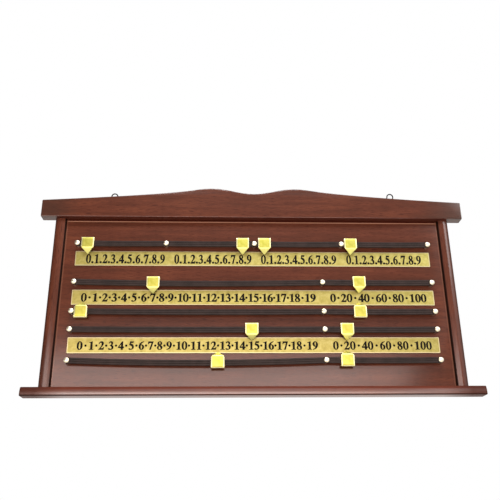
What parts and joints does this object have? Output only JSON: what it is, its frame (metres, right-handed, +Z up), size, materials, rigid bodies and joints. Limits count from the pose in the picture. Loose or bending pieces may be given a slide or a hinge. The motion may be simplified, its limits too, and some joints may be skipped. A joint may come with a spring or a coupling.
{
  "type": "billiard scoreboard",
  "caption": "Wall-hung billiard scoreboard with a shaped mahogany frame, brass number plates and brass pointers that slide along black rubber runners.",
  "frame": {"origin": "centre of the board's flat wooden back, at mid-width and mid-height, in the plane of the wall", "axes": "+X along the board to the reader's right, +Y into the wall, +Z up"},
  "size_m": [0.7, 0.0255, 0.353],
  "materials": {
    "mahogany_frame": "mahogany stain under satin lacquer",
    "mahogany_panel": "mahogany stain under satin lacquer",
    "beech_dowel": "raw turned beech",
    "etched_brass": "brushed and lacquered",
    "polished_brass": "polished",
    "turned_brass": "polished",
    "black_rubber": "matt, ribbed",
    "blackened_steel": "blackened",
    "bright_steel": "bright drawn wire"
  },
  "bodies": {
    "scoreboard": {"back_panel": "mahogany_panel", "hanger_screw_left": "blackened_steel", "hanger_screw_right": "blackened_steel", "hanger_strap_left": "blackened_steel", "hanger_strap_right": "blackened_steel", "header_board": "mahogany_frame", "header_dowel_left": "beech_dowel", "header_dowel_right": "beech_dowel", "left_stile": "mahogany_frame", "number_plate_bottom": "etched_brass", "number_plate_middle": "etched_brass", "number_plate_top": "etched_brass", "panel_pin_bottom_left": "bright_steel", "panel_pin_bottom_middle": "bright_steel", "panel_pin_bottom_right": "bright_steel", "panel_pin_top_left": "bright_steel", "panel_pin_top_middle": "bright_steel", "panel_pin_top_right": "bright_steel", "right_stile": "mahogany_frame", "runner_strip_1": "black_rubber", "runner_strip_2": "black_rubber", "runner_strip_3": "black_rubber", "runner_strip_4": "black_rubber", "runner_strip_5": "black_rubber", "runner_stud_1_1": "turned_brass", "runner_stud_1_2": "turned_brass", "runner_stud_1_3": "turned_brass", "runner_stud_1_4": "turned_brass", "runner_stud_1_5": "turned_brass", "runner_stud_2_1": "turned_brass", "runner_stud_2_2": "turned_brass", "runner_stud_2_3": "turned_brass", "runner_stud_3_1": "turned_brass", "runner_stud_3_2": "turned_brass", "runner_stud_3_3": "turned_brass", "runner_stud_4_1": "turned_brass", "runner_stud_4_2": "turned_brass", "runner_stud_4_3": "turned_brass", "runner_stud_5_1": "turned_brass", "runner_stud_5_2": "turned_brass", "runner_stud_5_3": "turned_brass", "sill_board": "mahogany_frame", "sill_dowel_left": "beech_dowel", "sill_dowel_right": "beech_dowel"},
    "pointer_1_1": {"score_pointer_1_1": "polished_brass"},
    "pointer_1_2": {"score_pointer_1_2": "polished_brass"},
    "pointer_1_3": {"score_pointer_1_3": "polished_brass"},
    "pointer_1_4": {"score_pointer_1_4": "polished_brass"},
    "pointer_2_1": {"score_pointer_2_1": "polished_brass"},
    "pointer_2_2": {"score_pointer_2_2": "polished_brass"},
    "pointer_3_1": {"score_pointer_3_1": "polished_brass"},
    "pointer_3_2": {"score_pointer_3_2": "polished_brass"},
    "pointer_4_1": {"score_pointer_4_1": "polished_brass"},
    "pointer_4_2": {"score_pointer_4_2": "polished_brass"},
    "pointer_5_1": {"score_pointer_5_1": "polished_brass"},
    "pointer_5_2": {"score_pointer_5_2": "polished_brass"},
    "ring_left": {"hanger_ring_left": "blackened_steel"},
    "ring_right": {"hanger_ring_right": "blackened_steel"}
  },
  "joints": [
    {"name": "slide_1_1", "type": "slide", "parent": "scoreboard", "child": "pointer_1_1", "axis": [1, 0, 0], "range_m": [-0.00194, 0.11201]},
    {"name": "slide_1_2", "type": "slide", "parent": "scoreboard", "child": "pointer_1_2", "axis": [1, 0, 0], "range_m": [-0.10973, 0.00422]},
    {"name": "slide_1_3", "type": "slide", "parent": "scoreboard", "child": "pointer_1_3", "axis": [1, 0, 0], "range_m": [-0.00216, 0.11178]},
    {"name": "slide_1_4", "type": "slide", "parent": "scoreboard", "child": "pointer_1_4", "axis": [1, 0, 0], "range_m": [-0.00057, 0.11338]},
    {"name": "slide_2_1", "type": "slide", "parent": "scoreboard", "child": "pointer_2_1", "axis": [1, 0, 0], "range_m": [-0.11019, 0.25588]},
    {"name": "slide_2_2", "type": "slide", "parent": "scoreboard", "child": "pointer_2_2", "axis": [1, 0, 0], "range_m": [-0.04465, 0.10368]},
    {"name": "slide_3_1", "type": "slide", "parent": "scoreboard", "child": "pointer_3_1", "axis": [1, 0, 0], "range_m": [0, 0.36607]},
    {"name": "slide_3_2", "type": "slide", "parent": "scoreboard", "child": "pointer_3_2", "axis": [1, 0, 0], "range_m": [-0.04316, 0.10517]},
    {"name": "slide_4_1", "type": "slide", "parent": "scoreboard", "child": "pointer_4_1", "axis": [1, 0, 0], "range_m": [-0.2665, 0.09957]},
    {"name": "slide_4_2", "type": "slide", "parent": "scoreboard", "child": "pointer_4_2", "axis": [1, 0, 0], "range_m": [-0.02062, 0.12771]},
    {"name": "slide_5_1", "type": "slide", "parent": "scoreboard", "child": "pointer_5_1", "axis": [1, 0, 0], "range_m": [-0.21379, 0.15229]},
    {"name": "slide_5_2", "type": "slide", "parent": "scoreboard", "child": "pointer_5_2", "axis": [1, 0, 0], "range_m": [-0.0181, 0.13023]},
    {"name": "ring_swing_left", "type": "hinge", "parent": "scoreboard", "child": "ring_left", "pos_m": [-0.235, 0.0024, 0.15907], "axis": [1, 0, 0], "range_deg": [-170, 60]},
    {"name": "ring_swing_right", "type": "hinge", "parent": "scoreboard", "child": "ring_right", "pos_m": [0.235, 0.0024, 0.16267], "axis": [0.9848, 0, -0.1736], "range_deg": [-170, 60]}
  ]
}
